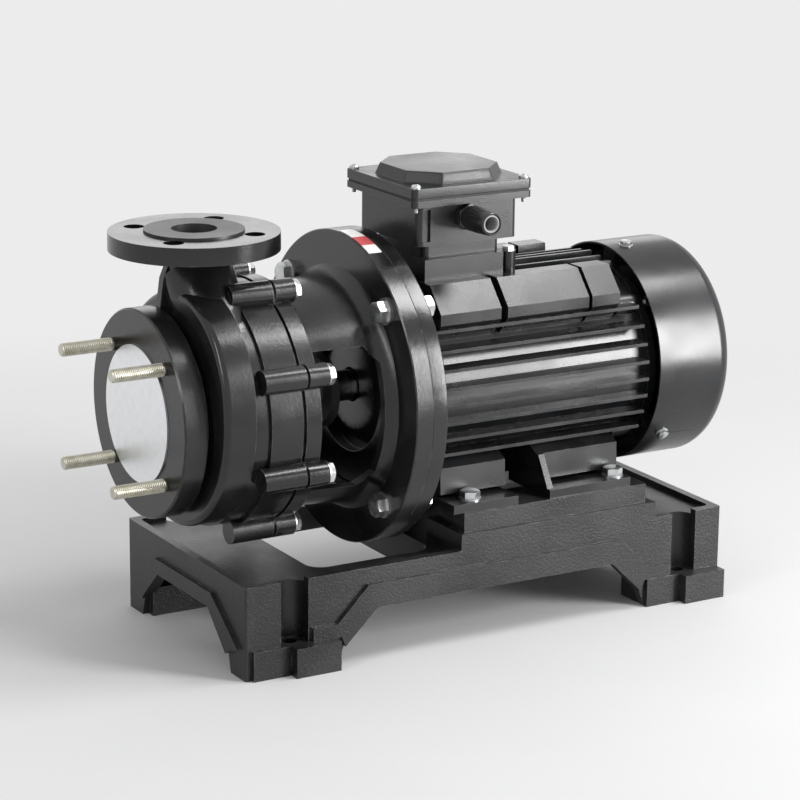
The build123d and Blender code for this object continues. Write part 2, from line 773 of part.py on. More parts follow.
with BuildPart() as rear_shield:
    revolve(turned(
        (472, 70), (472, frame_bore), (frame_back, frame_bore), (frame_back, 88), (486, 88), (492, 78),
        (492, 44), (506, 42), (508, 40), (508, 13.5), (504.6, 13.5), (504.6, 31), (487, 31), (484, 34),
        (484, 70),
    ), axis=shaft_axis)
    for number in range(3):
        angle = cowl_screw_start + 120 * number
        with BuildSketch(across(482)):
            with PolarLocations(93.5, 1, start_angle=angle):
                Rectangle(15, 16)
        extrude(amount=26)
    extrude(discs_around(470, 80, 4, 45, 3), amount=30, mode=Mode.SUBTRACT)
    for number in range(3):
        with BuildSketch(cowl_screw_plane(number).offset(86)):
            Circle(2.5)
        extrude(amount=20, mode=Mode.SUBTRACT)
finish(rear_shield, "rear_shield")

with BuildPart() as shield_screws:
    extrude(hexagons_around(208, 80, 4, 45, 10), amount=6)
    extrude(discs_around(210, 80, 4, 45, 3), amount=45)
    extrude(hexagons_around(492, 80, 4, 45, 10), amount=4)
    extrude(discs_around(463, 80, 4, 45, 3), amount=30)
finish(shield_screws, "shield_screws")

with BuildPart() as cooling_fan:
    revolve(turned(
        (512, 12), (512, 84), (514.5, 84), (516, 60), (518, 26), (540, 20), (540, 12),
    ), axis=shaft_axis)
    with BuildSketch(across(513)):
        with PolarLocations(50, 7):
            Rectangle(66, 3)
    extrude(amount=26)
finish(cooling_fan, "cooling_fan")

with BuildPart() as fan_circlip:
    revolve(ring(540, 541.5, 11, 16), axis=shaft_axis)
finish(fan_circlip, "fan_circlip")

cowl_sheet = 2
with BuildPart() as fan_cowl:
    with BuildSketch(shaft_plane):
        with BuildLine():
            Line((cowl_front, cowl_radius - cowl_sheet), (cowl_front, cowl_radius))
            Line((cowl_front, cowl_radius), (cowl_back - 16, cowl_radius))
            ThreePointArc((cowl_back - 16, cowl_radius), (cowl_back - 3.5, cowl_radius - 6.5),
                          (cowl_back, cowl_radius - 20))
            Line((cowl_back, cowl_radius - 20), (cowl_back, 0))
            Line((cowl_back, 0), (cowl_back - cowl_sheet, 0))
            Line((cowl_back - cowl_sheet, 0), (cowl_back - cowl_sheet, cowl_radius - 20))
            ThreePointArc((cowl_back - cowl_sheet, cowl_radius - 20), (cowl_back - 5, cowl_radius - 8),
                          (cowl_back - 16, cowl_radius - cowl_sheet))
            Line((cowl_back - 16, cowl_radius - cowl_sheet), (cowl_front, cowl_radius - cowl_sheet))
        make_face()
    revolve(axis=shaft_axis)
    # Air grille: three rings of slots in the end face
    for circle, count in ((34, 10), (52, 16), (70, 22)):
        with BuildSketch(across(cowl_back - 3)):
            with PolarLocations(circle, count):
                SlotOverall(14, 6)
        extrude(amount=5, mode=Mode.SUBTRACT)
    for number in range(3):
        with BuildSketch(cowl_screw_plane(number).offset(98)):
            Circle(2.5)
        extrude(amount=8, mode=Mode.SUBTRACT)
finish(fan_cowl, "fan_cowl")

with BuildPart() as cowl_screws:
    for number in range(3):
        outward = cowl_screw_plane(number)
        with BuildSketch(outward.offset(cowl_radius)):
            RegularPolygon(5, 6, major_radius=False)
        extrude(amount=4)
        with BuildSketch(outward.offset(cowl_radius - 12)):
            Circle(2.5)
        extrude(amount=13)
finish(cowl_screws, "cowl_screws")

# Terminal box on top of the motor

box_centre = 302
box_floor = shaft_height + 119
box_top = shaft_height + 174
rim_length = 124
rim_width = 122
body_size = 104


def box_section(height, length, width, corner):
    with BuildSketch(level(height)) as outline:
        with Locations((box_centre, 0)):
            RectangleRounded(length, width, corner)
    return outline.sketch


gland_height = shaft_height + 156
gland_distance = 300
gland_axis_plane = Plane(
    origin=(suction_x + gland_distance, 0, gland_height), x_dir=(1, 0, 0), z_dir=(0, -1, 0),
)
plug_width = -14
plug_height = shaft_height + 146
plug_plane = Plane(
    origin=(suction_x + box_centre, plug_width, plug_height), x_dir=(0, 1, 0), z_dir=(1, 0, 0),
)

with BuildPart() as terminal_box:
    extrude(box_section(box_floor, 80, 84, 6), amount=14)
    extrude(box_section(box_floor + 13, body_size, body_size, 6), amount=box_top - box_floor - 13)
    extrude(box_section(box_top - 5, rim_length, rim_width, 5), amount=6)
    hollow = box_section(box_floor + 18, body_size - 8, body_size - 8, 4)
    extrude(hollow, amount=box_top, mode=Mode.SUBTRACT)
    # Upright grooves beside the corner posts
    with BuildSketch(level(box_floor + 17)):
        with Locations((box_centre - body_size / 2 + 9, 0)):
            with GridLocations(0, body_size, 1, 2):
                Rectangle(8, 5)
    extrude(amount=box_top - box_floor - 26, mode=Mode.SUBTRACT)
    with BuildSketch(level(box_floor - 1)):
        with Locations((300, 0)):
            Rectangle(30, 36)
    extrude(amount=24, mode=Mode.SUBTRACT)
    # Cable entries: one towards the near side, one towards the fan
    with BuildSketch(gland_axis_plane):
        Circle(9)
    extrude(amount=60, mode=Mode.SUBTRACT)
    with BuildSketch(plug_plane.offset(16)):
        Circle(9)
    extrude(amount=50, mode=Mode.SUBTRACT)
    with BuildSketch(level(box_top - 12)):
        with Locations((box_centre, 0)):
            with GridLocations(rim_length - 12, rim_width - 12, 2, 2):
                Circle(2)
    extrude(amount=20, mode=Mode.SUBTRACT)
finish(terminal_box, "terminal_box")

with BuildPart() as box_gasket:
    with BuildSketch(level(box_top + 1)):
        with Locations((box_centre, 0)):
            RectangleRounded(rim_length - 2, rim_width - 2, 5)
            RectangleRounded(rim_length - 20, rim_width - 20, 4, mode=Mode.SUBTRACT)
            with GridLocations(rim_length - 12, rim_width - 12, 2, 2):
                Circle(2, mode=Mode.SUBTRACT)
    extrude(amount=2)
finish(box_gasket, "box_gasket")


def octagon(height, length, width, cut):
    with BuildSketch(level(height)) as outline:
        with Locations((box_centre, 0)):
            Rectangle(length, width)
        chamfer(outline.vertices(), length=cut)
    return outline.sketch


with BuildPart() as box_lid:
    extrude(box_section(box_top + 3, rim_length, rim_width, 5), amount=9)
    loft([octagon(box_top + 12, 103, 101, 25), octagon(box_top + 22, 95, 93, 23)])
    loft([octagon(box_top + 2.9, 93, 91, 19), octagon(box_top + 19, 87, 85, 19)], mode=Mode.SUBTRACT)
    with BuildSketch(level(box_top)):
        with Locations((box_centre, 0)):
            with GridLocations(rim_length - 12, rim_width - 12, 2, 2):
                Circle(2.2)
    extrude(amount=20, mode=Mode.SUBTRACT)
finish(box_lid, "box_lid")

with BuildPart() as lid_screws:
    with BuildSketch(level(box_top - 10)):
        with Locations((box_centre, 0)):
            with GridLocations(rim_length - 12, rim_width - 12, 2, 2):
                Circle(2)
    extrude(amount=23)
    with BuildSketch(level(box_top + 12)):
        with Locations((box_centre, 0)):
            with GridLocations(rim_length - 12, rim_width - 12, 2, 2):
                Circle(4.5)
    extrude(amount=3.5)
finish(lid_screws, "lid_screws")

with BuildPart() as terminal_board:
    with BuildSketch(level(box_floor + 18)):
        with Locations((box_centre + 18, 0)):
            Rectangle(34, 60)
    extrude(amount=8)
    with BuildSketch(level(box_floor + 26)):
        with Locations((box_centre + 18, 0)):
            with GridLocations(0, 16, 1, 4):
                Rectangle(30, 2.5)
    extrude(amount=8)
finish(terminal_board, "terminal_board")

with BuildPart() as terminal_studs:
    with BuildSketch(level(box_floor + 26)):
        with Locations((box_centre + 18, 0)):
            with GridLocations(18, 16, 2, 3):
                Circle(2.5)
    extrude(amount=12)
finish(terminal_studs, "terminal_studs")

# Cable gland on the near side and blanking plug on the fan side

with BuildPart() as gland_body:
    with BuildSketch(gland_axis_plane.offset(46)):
        Circle(9)
    extrude(amount=7)
    with BuildSketch(gland_axis_plane.offset(body_size / 2)):
        RegularPolygon(11, 6, major_radius=False)
    extrude(amount=8)
    with BuildSketch(gland_axis_plane.offset(59)):
        Circle(9.5)
    extrude(amount=16)
    with BuildSketch(gland_axis_plane.offset(40)):
        Circle(7)
    extrude(amount=40, mode=Mode.SUBTRACT)
finish(gland_body, "gland_body")

with BuildPart() as gland_nut:
    with BuildSketch(gland_axis_plane.offset(62)):
        RegularPolygon(11.5, 10, major_radius=False)
    extrude(amount=16)
    with BuildSketch(gland_axis_plane.offset(78)):
        Circle(11.5)
    with BuildSketch(gland_axis_plane.offset(95)):
        Circle(9)
    loft()
    with BuildSketch(gland_axis_plane.offset(61)):
        Circle(9.5)
    extrude(amount=14, mode=Mode.SUBTRACT)
    with BuildSketch(gland_axis_plane.offset(74)):
        Circle(8.5)
    extrude(amount=16, mode=Mode.SUBTRACT)
    with BuildSketch(gland_axis_plane.offset(80)):
        Circle(7)
    extrude(amount=20, mode=Mode.SUBTRACT)
finish(gland_nut, "gland_nut")

with BuildPart() as gland_seal:
    with BuildSketch(gland_axis_plane.offset(75)):
        Circle(8.5)
        Circle(6, mode=Mode.SUBTRACT)
    extrude(amount=15)
finish(gland_seal, "gland_seal")

with BuildPart() as blanking_plug:
    with BuildSketch(plug_plane.offset(body_size / 2 - 6)):
        Circle(9)
    extrude(amount=8)
    with BuildSketch(plug_plane.offset(body_size / 2)):
        Circle(15)
    extrude(amount=5)
    with BuildSketch(plug_plane.offset(body_size / 2 + 5)):
        Circle(13)
        Rectangle(16, 3, mode=Mode.SUBTRACT)
    extrude(amount=4)
finish(blanking_plug, "blanking_plug")

with BuildPart() as earth_screw:
    with BuildSketch(level(shaft_height + 118)):
        with Locations(earth_spot):
            RegularPolygon(5, 6, major_radius=False)
    extrude(amount=4)
finish(earth_screw, "earth_screw")

# Bolts that hold the motor feet to the baseplate pads

with BuildPart() as motor_foot_bolts:
    with BuildSketch(level(pad_height + 10)):
        with Locations(motor_bolt_spots):
            RegularPolygon(8, 6, major_radius=False)
    extrude(amount=6.4)
    with BuildSketch(level(pad_height - 20)):
        with Locations(motor_bolt_spots):
            Circle(5)
    extrude(amount=31)
finish(motor_foot_bolts, "motor_foot_bolts")

with BuildPart() as motor_foot_washers:
    with BuildSketch(level(pad_height + 8)):
        with Locations(motor_bolt_spots):
            Circle(10)
            Circle(5, mode=Mode.SUBTRACT)
    extrude(amount=2)
finish(motor_foot_washers, "motor_foot_washers")
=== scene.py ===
# %% [markdown]
# A lined centrifugal pump on its motor and baseplate. The frame holds every solid of the pump in
# its place, in metres: the floor is z = 0, the shaft runs along +X at a height of 218 mm, and the
# suction port looks towards -X. This notebook dresses that frame: it gives castings their rounded
# edges and grain, makes the threads and nuts that are too fine for the solids, and paints it all.

# %% Load the frame
import json
from math import cos, pi, radians, sin, sqrt

import bmesh
import bpy
from mathutils import Matrix, Vector


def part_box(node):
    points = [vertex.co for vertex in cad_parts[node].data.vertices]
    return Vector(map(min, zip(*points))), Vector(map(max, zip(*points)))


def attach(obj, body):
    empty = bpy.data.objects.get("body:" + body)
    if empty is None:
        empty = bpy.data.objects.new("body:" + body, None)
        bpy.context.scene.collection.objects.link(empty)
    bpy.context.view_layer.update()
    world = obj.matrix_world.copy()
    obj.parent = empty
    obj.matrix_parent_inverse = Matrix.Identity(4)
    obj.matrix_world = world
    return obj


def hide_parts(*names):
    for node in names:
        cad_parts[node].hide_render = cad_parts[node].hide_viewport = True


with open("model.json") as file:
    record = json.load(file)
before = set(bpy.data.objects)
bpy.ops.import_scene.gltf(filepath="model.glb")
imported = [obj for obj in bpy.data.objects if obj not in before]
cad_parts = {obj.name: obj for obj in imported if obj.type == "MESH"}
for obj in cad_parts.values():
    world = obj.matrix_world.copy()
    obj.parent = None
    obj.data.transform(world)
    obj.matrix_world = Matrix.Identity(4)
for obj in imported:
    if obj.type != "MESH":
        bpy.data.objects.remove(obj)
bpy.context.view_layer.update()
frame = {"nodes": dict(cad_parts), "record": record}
nodes = frame["nodes"]
shaft_height = 0.218
suction_x = -0.298

# %% [markdown]
# A node tree is easier to read when each node is one call. `wire` makes a node, sets its fields
# and fills its sockets, either with a value or with a link from another node's socket.

# %% A helper for node trees


def wire(tree, kind, sockets=None, **fields):
    made = tree.nodes.new(kind)
    for field, value in fields.items():
        setattr(made, field, value)
    for socket, value in (sockets or {}).items():
        if isinstance(value, bpy.types.NodeSocket):
            tree.links.new(value, made.inputs[socket])
        else:
            made.inputs[socket].default_value = value
    return made


def begin_group(name, inputs, outputs):
    """Empty shader node group with named sockets, each input as (name, socket type, default)."""
    group = bpy.data.node_groups.new(name, "ShaderNodeTree")
    for socket, kind, value in inputs:
        made = group.interface.new_socket(name=socket, in_out="INPUT", socket_type=kind)
        made.default_value = value
    for socket, kind in outputs:
        group.interface.new_socket(name=socket, in_out="OUTPUT", socket_type=kind)
    entry = group.nodes.new("NodeGroupInput")
    leave = group.nodes.new("NodeGroupOutput")
    return group, entry.outputs, leave.inputs


NUMBER = "NodeSocketFloat"
PLACE = "NodeSocketVector"
print("node helpers ready")

# %% [markdown]
# Sand leaves a cast surface covered with soft bumps and a few sharp pits, and the enamel over it
# rounds them off. One noise gives the bumps and a Voronoi pattern the pits. The place comes in
# from Object coordinates, so that the grain stays on a part that moves.

# %% Casting grain as a node group


def casting_grain():
    group, given, out = begin_group(
        "casting grain",
        [("Place", PLACE, (0, 0, 0)), ("Grain per metre", NUMBER, 400.0), ("Pits", NUMBER, 0.5)],
        [("Height", NUMBER), ("Tone", NUMBER)],
    )
    bumps = wire(group, "ShaderNodeTexNoise", {
        "Vector": given["Place"], "Scale": given["Grain per metre"],
        "Detail": 5.0, "Roughness": 0.62,
    })
    cells = wire(group, "ShaderNodeTexVoronoi", {
        "Vector": given["Place"], "Scale": given["Grain per metre"], "Randomness": 1.0,
    })
    holes = wire(group, "ShaderNodeMapRange", {
        "Value": cells.outputs["Distance"], "From Min": 0.05, "From Max": 0.3,
        "To Min": -1.0, "To Max": 0.0,
    })
    depth = wire(group, "ShaderNodeMath", {0: holes.outputs["Result"], 1: given["Pits"]},
                 operation="MULTIPLY")
    total = wire(group, "ShaderNodeMath", {0: bumps.outputs["Fac"], 1: depth.outputs["Value"]},
                 operation="ADD")
    broad = wire(group, "ShaderNodeTexNoise", {
        "Vector": given["Place"], "Scale": 14.0, "Detail": 3.0,
    })
    group.links.new(total.outputs["Value"], out["Height"])
    group.links.new(broad.outputs["Fac"], out["Tone"])
    return group


grain_group = casting_grain()
print("casting grain:", len(grain_group.nodes), "nodes")

# %% [markdown]
# Paint wears first on edges. The Bevel node gives the normal that a rounded edge would have, and
# where it differs from the true normal there is an edge. A noise breaks the line up, so that only
# stretches of it are rubbed through.

# %% Edge wear as a node group


def edge_wear():
    group, given, out = begin_group(
        "edge wear",
        [("Place", PLACE, (0, 0, 0)), ("Width", NUMBER, 0.0012), ("Amount", NUMBER, 0.5),
         ("Patches per metre", NUMBER, 90.0)],
        [("Mask", NUMBER)],
    )
    rounded = wire(group, "ShaderNodeBevel", {"Radius": given["Width"]}, samples=4)
    true = wire(group, "ShaderNodeNewGeometry")
    same = wire(group, "ShaderNodeVectorMath",
                {0: rounded.outputs["Normal"], 1: true.outputs["Normal"]}, operation="DOT_PRODUCT")
    edge = wire(group, "ShaderNodeMapRange", {
        "Value": same.outputs["Value"], "From Min": 0.995, "From Max": 0.86,
        "To Min": 0.0, "To Max": 1.0,
    })
    patches = wire(group, "ShaderNodeTexNoise", {
        "Vector": given["Place"], "Scale": given["Patches per metre"], "Detail": 6.0,
    })
    gaps = wire(group, "ShaderNodeMapRange", {
        "Value": patches.outputs["Fac"], "From Min": 0.46, "From Max": 0.62,
    })
    broken = wire(group, "ShaderNodeMath", {0: edge.outputs["Result"], 1: gaps.outputs["Result"]},
                  operation="MULTIPLY")
    scaled = wire(group, "ShaderNodeMath", {0: broken.outputs["Value"], 1: given["Amount"]},
                  operation="MULTIPLY", use_clamp=True)
    group.links.new(scaled.outputs["Value"], out["Mask"])
    return group


wear_group = edge_wear()
print("edge wear:", len(wear_group.nodes), "nodes")

# %% [markdown]
# A little dust settles on whatever faces up. The mask follows the upward share of the normal,
# broken by a soft noise, and each material mixes in as much of it as it needs.

# %% Settled dust as a node group


def settled_dust():
    group, given, out = begin_group(
        "settled dust",
        [("Place", PLACE, (0, 0, 0)), ("Amount", NUMBER, 0.2)],
        [("Mask", NUMBER)],
    )
    true = wire(group, "ShaderNodeNewGeometry")
    parts = wire(group, "ShaderNodeSeparateXYZ", {"Vector": true.outputs["Normal"]})
    upward = wire(group, "ShaderNodeMapRange", {
        "Value": parts.outputs["Z"], "From Min": 0.4, "From Max": 1.0,
    })
    drift = wire(group, "ShaderNodeTexNoise", {
        "Vector": given["Place"], "Scale": 45.0, "Detail": 5.0, "Roughness": 0.6,
    })
    spread = wire(group, "ShaderNodeMapRange", {
        "Value": drift.outputs["Fac"], "From Min": 0.35, "From Max": 0.7,
    })
    lying = wire(group, "ShaderNodeMath",
                 {0: upward.outputs["Result"], 1: spread.outputs["Result"]}, operation="MULTIPLY")
    scaled = wire(group, "ShaderNodeMath", {0: lying.outputs["Value"], 1: given["Amount"]},
                  operation="MULTIPLY", use_clamp=True)
    group.links.new(scaled.outputs["Value"], out["Mask"])
    return group


dust_group = settled_dust()
print("settled dust:", len(dust_group.nodes), "nodes")

# %% [markdown]
# Turned and drawn metal has fine lines in one direction. A noise that is squeezed across the
# lines and stretched along them gives both the change in gloss and the shallow relief. The
# stretch is an input, so a stud, a ring and a disc can each have lines of their own direction.

# %% Drawn lines as a node group


def drawn_lines():
    group, given, out = begin_group(
        "drawn lines",
        [("Place", PLACE, (0, 0, 0)), ("Lines per metre", PLACE, (3000, 60, 60))],
        [("Height", NUMBER), ("Stain", NUMBER)],
    )
    squeezed = wire(group, "ShaderNodeVectorMath",
                    {0: given["Place"], 1: given["Lines per metre"]}, operation="MULTIPLY")
    lines = wire(group, "ShaderNodeTexNoise", {
        "Vector": squeezed.outputs["Vector"], "Scale": 1.0, "Detail": 3.0, "Roughness": 0.7,
    })
    stain = wire(group, "ShaderNodeTexNoise", {
        "Vector": given["Place"], "Scale": 120.0, "Detail": 5.0,
    })
    group.links.new(lines.outputs["Fac"], out["Height"])
    group.links.new(stain.outputs["Fac"], out["Stain"])
    return group


lines_group = drawn_lines()
print("drawn lines:", len(lines_group.nodes), "nodes")

# %% [markdown]
# Three families cover almost every finish on the pump: enamel over metal, bare or plated metal,
# and moulded plastic or rubber. Each family is a function, and each material calls it with the
# values of its own finish. Numbers that don't change over a surface are set on the shader itself.

# %% Start a material


def start_material(name):
    made = bpy.data.materials.new(name)
    made.use_nodes = True
    tree = made.node_tree
    tree.nodes.clear()
    place = wire(tree, "ShaderNodeTexCoord").outputs["Object"]
    shader = wire(tree, "ShaderNodeBsdfPrincipled")
    wire(tree, "ShaderNodeOutputMaterial", {"Surface": shader.outputs["BSDF"]})
    return made, tree, place, shader


def use_group(tree, group, sockets):
    made = wire(tree, "ShaderNodeGroup", node_tree=group)
    for socket, value in sockets.items():
        if isinstance(value, bpy.types.NodeSocket):
            tree.links.new(value, made.inputs[socket])
        else:
            made.inputs[socket].default_value = value
    return made.outputs


def mix_colour(tree, share, first, second):
    """Colour between two, each given as RGB or as a socket."""
    made = wire(tree, "ShaderNodeMix", data_type="RGBA")
    tree.links.new(share, made.inputs["Factor"])
    for socket, value in ((made.inputs[6], first), (made.inputs[7], second)):
        if isinstance(value, bpy.types.NodeSocket):
            tree.links.new(value, socket)
        else:
            socket.default_value = (*value, 1)
    return made.outputs[2]


def ramp_value(tree, value, low, high, to_low, to_high):
    made = wire(tree, "ShaderNodeMapRange", {
        "Value": value, "From Min": low, "From Max": high, "To Min": to_low, "To Max": to_high,
    })
    return made.outputs["Result"]


print("material helpers ready")

# %% [markdown]
# Enamel on castings is nearly black and half gloss. It could be one dark colour, but then a
# casting looks like plastic. Its look comes from three things laid over each other: the grain of
# the metal below, a slow change in tone where the coat is thicker, and edges where it is rubbed to
# a duller grey. `gloss` is the roughness of the coat, and `relief` is the depth of the grain.

# %% Enamel over metal


def enamel(name, colour, gloss, grain_scale, pits, relief, wear, dust):
    made, tree, place, shader = start_material(name)
    grain = use_group(tree, grain_group, {
        "Place": place, "Grain per metre": grain_scale, "Pits": pits,
    })
    rubbed = use_group(tree, wear_group, {"Place": place, "Amount": wear})["Mask"]
    lying = use_group(tree, dust_group, {"Place": place, "Amount": dust})["Mask"]
    thick = [c * 0.7 for c in colour]
    thin = [c * 1.35 + 0.002 for c in colour]
    coat = mix_colour(tree, ramp_value(tree, grain["Tone"], 0.35, 0.65, 0, 1), thick, thin)
    worn = mix_colour(tree, rubbed, coat, (0.16, 0.16, 0.165))
    dusty = mix_colour(tree, lying, worn, (0.24, 0.23, 0.21))
    tree.links.new(dusty, shader.inputs["Base Color"])
    sheen = ramp_value(tree, grain["Tone"], 0.3, 0.7, gloss - 0.06, gloss + 0.08)
    dull = wire(tree, "ShaderNodeMath", {0: sheen, 1: lying}, operation="ADD", use_clamp=True)
    tree.links.new(dull.outputs["Value"], shader.inputs["Roughness"])
    relief_node = wire(tree, "ShaderNodeBump", {
        "Height": grain["Height"], "Strength": 1.0, "Distance": relief,
    })
    tree.links.new(relief_node.outputs["Normal"], shader.inputs["Normal"])
    shader.inputs["Specular IOR Level"].default_value = 0.5
    return made


finishes = {
    "casting_paint": enamel(
        "casting_paint", (0.007, 0.007, 0.0075), gloss=0.2, grain_scale=330, pits=0.25,
        relief=0.00009, wear=0.55, dust=0.03,
    ),
    "base_paint": enamel(
        "base_paint", (0.008, 0.008, 0.0085), gloss=0.33, grain_scale=420, pits=0.25,
        relief=0.00036, wear=0.6, dust=0.05,
    ),
    "motor_paint": enamel(
        "motor_paint", (0.007, 0.0073, 0.0082), gloss=0.26, grain_scale=520, pits=0.1,
        relief=0.00006, wear=0.4, dust=0.03,
    ),
    "cowl_paint": enamel(
        "cowl_paint", (0.007, 0.0073, 0.0082), gloss=0.26, grain_scale=700, pits=0.0,
        relief=0.00002, wear=0.3, dust=0.02,
    ),
}
print("enamels:", sorted(finishes))

# %% [markdown]
# Bolts, studs and nuts are plated or bare. Zinc is a cool grey with cloudy stains, yellow zinc is
# warmer, and the shaft and rings are ground bright. A plain metal would mirror too cleanly, so the
# family breaks it up with stains and with tool lines, given as lines per metre along each axis.

# %% Plated and bare metal


def plated(name, colour, stain_colour, gloss, lines, relief=0.00002, stain=0.5):
    made, tree, place, shader = start_material(name)
    drawn = use_group(tree, lines_group, {"Place": place, "Lines per metre": lines})
    cloud = ramp_value(tree, drawn["Stain"], 0.42, 0.66, 0, stain)
    tree.links.new(mix_colour(tree, cloud, colour, stain_colour), shader.inputs["Base Color"])
    shine = ramp_value(tree, drawn["Height"], 0.25, 0.75, gloss - 0.07, gloss + 0.12)
    tree.links.new(shine, shader.inputs["Roughness"])
    fine = wire(tree, "ShaderNodeBump", {
        "Height": drawn["Height"], "Strength": 0.6, "Distance": relief,
    })
    tree.links.new(fine.outputs["Normal"], shader.inputs["Normal"])
    shader.inputs["Metallic"].default_value = 1.0
    return made


grey_stain = (0.30, 0.29, 0.27)
finishes["zinc_steel"] = plated(
    "zinc_steel", (0.60, 0.61, 0.62), grey_stain, 0.3, lines=(900, 900, 900),
)
finishes["yellow_zinc"] = plated(
    "yellow_zinc", (0.60, 0.585, 0.51), (0.40, 0.37, 0.27), 0.34, lines=(2500, 200, 200),
)
finishes["bright_nuts"] = plated(
    "bright_nuts", (0.78, 0.78, 0.77), grey_stain, 0.16, lines=(500, 500, 500), stain=0.2,
)
finishes["shaft_steel"] = plated(
    "shaft_steel", (0.55, 0.55, 0.56), grey_stain, 0.24, lines=(4000, 60, 60),
)
finishes["laminations"] = plated(
    "laminations", (0.22, 0.22, 0.23), (0.1, 0.09, 0.08), 0.42, lines=(1600, 30, 30),
)
finishes["brass_studs"] = plated(
    "brass_studs", (0.72, 0.52, 0.2), (0.4, 0.25, 0.08), 0.28, lines=(60, 60, 3000),
)
finishes["copper_winding"] = plated(
    "copper_winding", (0.45, 0.18, 0.08), (0.2, 0.07, 0.03), 0.35, lines=(200, 900, 900),
)
finishes["cover_disc"] = plated(
    "cover_disc", (0.86, 0.87, 0.89), (0.74, 0.75, 0.77), 0.36, lines=(40, 40, 2600), stain=0.35,
)
print("metals:", len(finishes) - 4)

# %% [markdown]
# Moulded pieces are smooth and slightly waxy, with a faint ripple from the mould. Rubber is duller
# and darker. The pale ones are the bellows and the sleeve of the shaft seal.

# %% Moulded plastic and rubber


def moulded(name, colour, second, gloss, ripple=0.00003, scale=500):
    made, tree, place, shader = start_material(name)
    grain = use_group(tree, grain_group, {"Place": place, "Grain per metre": scale, "Pits": 0.0})
    lying = use_group(tree, dust_group, {"Place": place, "Amount": 0.06})["Mask"]
    tone = ramp_value(tree, grain["Tone"], 0.35, 0.65, 0, 1)
    body = mix_colour(tree, tone, colour, second)
    tree.links.new(mix_colour(tree, lying, body, (0.35, 0.34, 0.32)), shader.inputs["Base Color"])
    tree.links.new(ramp_value(tree, grain["Tone"], 0.3, 0.7, gloss - 0.05, gloss + 0.07),
                   shader.inputs["Roughness"])
    soft = wire(tree, "ShaderNodeBump", {
        "Height": grain["Height"], "Strength": 1.0, "Distance": ripple,
    })
    tree.links.new(soft.outputs["Normal"], shader.inputs["Normal"])
    return made


finishes["fluoroplastic"] = moulded(
    "fluoroplastic", (0.018, 0.018, 0.019), (0.03, 0.03, 0.031), 0.42,
)
finishes["white_fluoroplastic"] = moulded(
    "white_fluoroplastic", (0.74, 0.73, 0.69), (0.66, 0.65, 0.6), 0.38,
)
finishes["ceramic_ring"] = moulded("ceramic_ring", (0.8, 0.78, 0.72), (0.72, 0.7, 0.63), 0.2)
finishes["carbon_ring"] = moulded("carbon_ring", (0.03, 0.03, 0.032), (0.045, 0.045, 0.047), 0.3)
finishes["rubber_black"] = moulded(
    "rubber_black", (0.012, 0.012, 0.012), (0.02, 0.02, 0.02), 0.62, ripple=0.00006, scale=900,
)
finishes["gland_plastic"] = moulded(
    "gland_plastic", (0.012, 0.012, 0.013), (0.017, 0.017, 0.018), 0.3,
)
# The seal's pale grey is partly rubber and partly a painted highlight for the bright ring at the
# gland's mouth.
finishes["seal_rubber"] = moulded(
    "seal_rubber", (0.3, 0.3, 0.3), (0.22, 0.22, 0.22), 0.5, ripple=0.00004, scale=900,
)
finishes["board_plastic"] = moulded("board_plastic", (0.12, 0.05, 0.025), (0.08, 0.03, 0.015), 0.45)
finishes["fan_plastic"] = moulded("fan_plastic", (0.014, 0.014, 0.015), (0.022, 0.022, 0.023), 0.48)
print("finishes so far:", len(finishes))

# %% [markdown]
# The film on the rim of the bracket is white with one red field and no words. The field is cut
# from the place along Y by a narrow ramp, which leaves a slightly soft printed edge.

# %% Printed film

film, tree, place, shader = start_material("label_film")
film_low, film_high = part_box("rotation_label")
middle_y, half_y = (film_low.y + film_high.y) / 2, (film_high.y - film_low.y) / 2
across = wire(tree, "ShaderNodeSeparateXYZ", {"Vector": place}).outputs["Y"]
after_start = ramp_value(tree, across, middle_y - half_y * 0.55, middle_y - half_y * 0.5, 0, 1)
before_end = ramp_value(tree, across, middle_y + half_y * 0.1, middle_y + half_y * 0.15, 1, 0)
red_field = wire(tree, "ShaderNodeMath", {0: after_start, 1: before_end}, operation="MULTIPLY")
fibres = use_group(tree, grain_group, {"Place": place, "Grain per metre": 900.0, "Pits": 0.0})
mottling = ramp_value(tree, fibres["Height"], 0.3, 0.7, 0, 1)
paper = mix_colour(tree, mottling, (0.78, 0.77, 0.75), (0.66, 0.65, 0.63))
red_ink = mix_colour(tree, mottling, (0.52, 0.07, 0.08), (0.44, 0.07, 0.07))
printed = mix_colour(tree, red_field.outputs["Value"], paper, red_ink)
tree.links.new(printed, shader.inputs["Base Color"])
tree.links.new(ramp_value(tree, fibres["Tone"], 0.3, 0.7, 0.25, 0.38), shader.inputs["Roughness"])
finishes["label_film"] = film
print("finishes in all:", len(finishes))

# %% [markdown]
# The record says which finish each solid has, so the right material goes on by the record's slot.

# %% Dress every solid

slot_of = {row["node"]: row["material_slot"] for row in frame["record"]["subparts"]}
for name, solid in nodes.items():
    solid.data.materials.clear()
    solid.data.materials.append(finishes[slot_of[name]])
print("dressed", len(nodes), "solids")

# %% [markdown]
# The solids have knife-sharp edges, but no real casting or sheet has. The first modifier welds the
# split corners of the imported mesh, the second rounds every edge over 30 degrees by a small
# radius, and smooth shading with sharpness by angle keeps flats flat.

# %% Round the edges of the solids


def ease_edges(solid, radius, angle=32, segments=2):
    weld = solid.modifiers.new("weld", "WELD")
    weld.merge_threshold = 0.000002
    bevel = solid.modifiers.new("eased edges", "BEVEL")
    bevel.limit_method = "ANGLE"
    bevel.angle_limit = radians(angle)
    bevel.width = radius
    bevel.segments = segments
    bevel.miter_outer = "MITER_ARC"
    bevel.harden_normals = False
    for polygon in solid.data.polygons:
        polygon.use_smooth = True
    weighted = solid.modifiers.new("flats stay flat", "WEIGHTED_NORMAL")
    weighted.keep_sharp = True
    weighted.weight = 60


